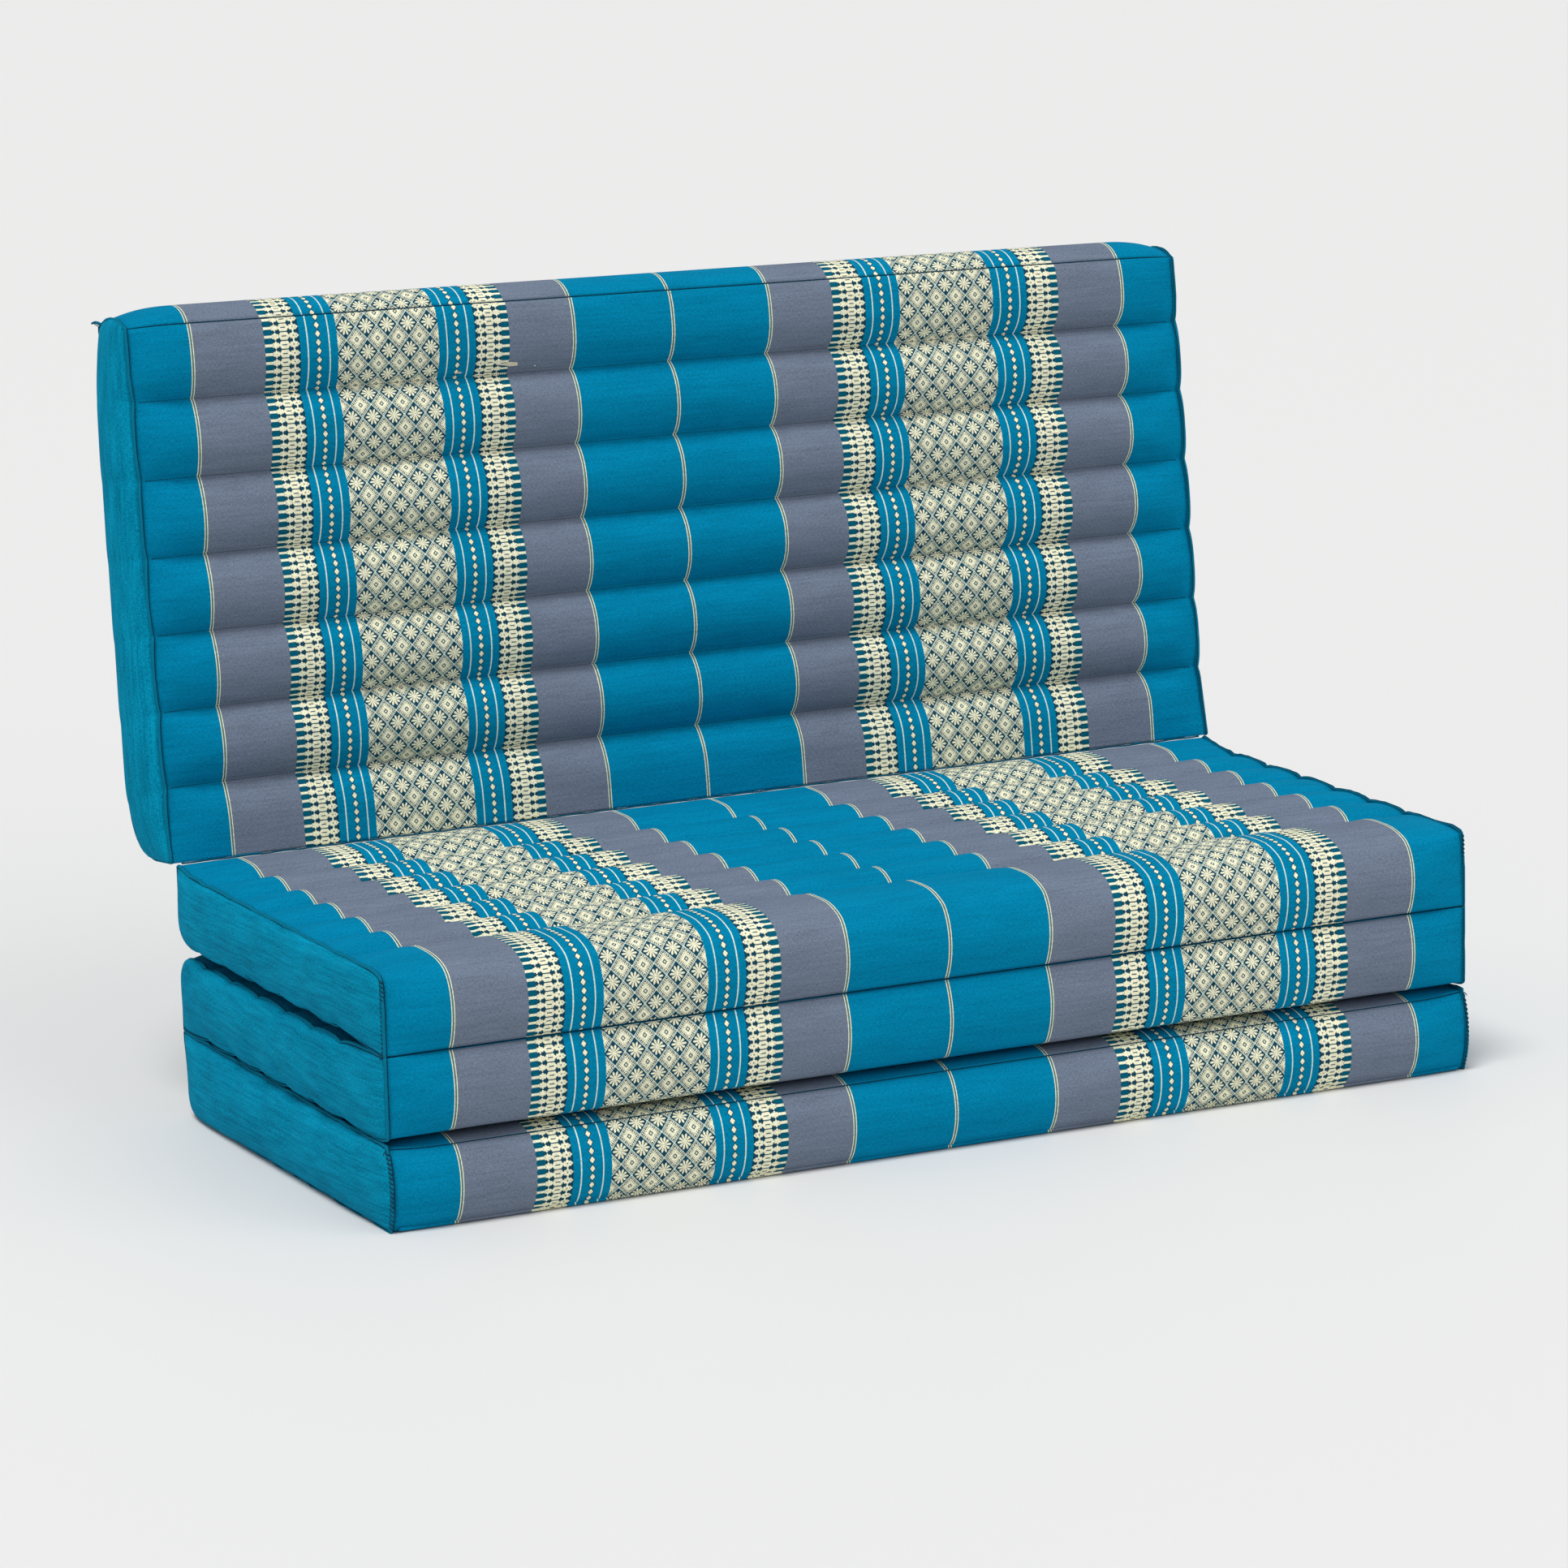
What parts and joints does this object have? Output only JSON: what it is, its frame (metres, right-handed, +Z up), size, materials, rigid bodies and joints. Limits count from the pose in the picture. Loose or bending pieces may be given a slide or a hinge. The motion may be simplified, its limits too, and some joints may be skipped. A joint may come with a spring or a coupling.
{
  "type": "folding floor mattress",
  "caption": "Channel-stuffed futon mattress of equal panels joined by sewn folds, set up as a low floor sofa with a leaning backrest.",
  "frame": {"origin": "centre of the base panel's flat underside, on the floor", "axes": "+X across the mattress to the right of someone facing it, +Y to the rear, towards the backrest, +Z up"},
  "size_m": [1.1, 0.6259, 0.7215],
  "materials": {
    "patterned_cloth": "woven cotton with stripes and brocade bands, matt",
    "plain_cloth": "plain woven cotton, blue, matt",
    "boxing_cloth": "slubby plain cotton, blue, slightly worn, matt",
    "kapok_fill": "loose natural fibre",
    "fold_binding": "rolled and stitched seam allowance, matt"
  },
  "bodies": {
    "base": {"base_top_cover": "patterned_cloth", "base_under_cover": "plain_cloth", "base_left_boxing": "boxing_cloth", "base_right_boxing": "boxing_cloth", "base_front_boxing": "patterned_cloth", "base_kapok_roll_1": "kapok_fill", "base_kapok_roll_2": "kapok_fill", "base_kapok_roll_3": "kapok_fill", "base_kapok_roll_4": "kapok_fill", "base_kapok_roll_5": "kapok_fill", "base_kapok_roll_6": "kapok_fill", "base_kapok_roll_7": "kapok_fill", "rear_fold_binding": "fold_binding"},
    "middle": {"middle_top_cover": "patterned_cloth", "middle_under_cover": "plain_cloth", "middle_left_boxing": "boxing_cloth", "middle_right_boxing": "boxing_cloth", "middle_kapok_roll_1": "kapok_fill", "middle_kapok_roll_2": "kapok_fill", "middle_kapok_roll_3": "kapok_fill", "middle_kapok_roll_4": "kapok_fill", "middle_kapok_roll_5": "kapok_fill", "middle_kapok_roll_6": "kapok_fill", "middle_kapok_roll_7": "kapok_fill", "front_fold_binding": "fold_binding"},
    "seat": {"seat_top_cover": "patterned_cloth", "seat_under_cover": "plain_cloth", "seat_left_boxing": "boxing_cloth", "seat_right_boxing": "boxing_cloth", "seat_kapok_roll_1": "kapok_fill", "seat_kapok_roll_2": "kapok_fill", "seat_kapok_roll_3": "kapok_fill", "seat_kapok_roll_4": "kapok_fill", "seat_kapok_roll_5": "kapok_fill", "seat_kapok_roll_6": "kapok_fill", "seat_kapok_roll_7": "kapok_fill"},
    "backrest": {"backrest_top_cover": "patterned_cloth", "backrest_under_cover": "plain_cloth", "backrest_left_boxing": "boxing_cloth", "backrest_right_boxing": "boxing_cloth", "backrest_top_boxing": "patterned_cloth", "backrest_kapok_roll_1": "kapok_fill", "backrest_kapok_roll_2": "kapok_fill", "backrest_kapok_roll_3": "kapok_fill", "backrest_kapok_roll_4": "kapok_fill", "backrest_kapok_roll_5": "kapok_fill", "backrest_kapok_roll_6": "kapok_fill", "backrest_kapok_roll_7": "kapok_fill", "back_fold_binding": "fold_binding"}
  },
  "joints": [
    {"name": "front_fold", "type": "hinge", "parent": "seat", "child": "middle", "pos_m": [0, -0.245, 0.1589], "axis": [-1, 0, 0], "range_deg": [0, 180]},
    {"name": "rear_fold", "type": "hinge", "parent": "middle", "child": "base", "pos_m": [0, 0.245, 0.0793], "axis": [1, 0, 0], "range_deg": [0, 180]},
    {"name": "back_lean", "type": "hinge", "parent": "seat", "child": "backrest", "pos_m": [0, 0.245, 0.2385], "axis": [1, 0, 0], "range_deg": [-83.5, 96.5]}
  ]
}
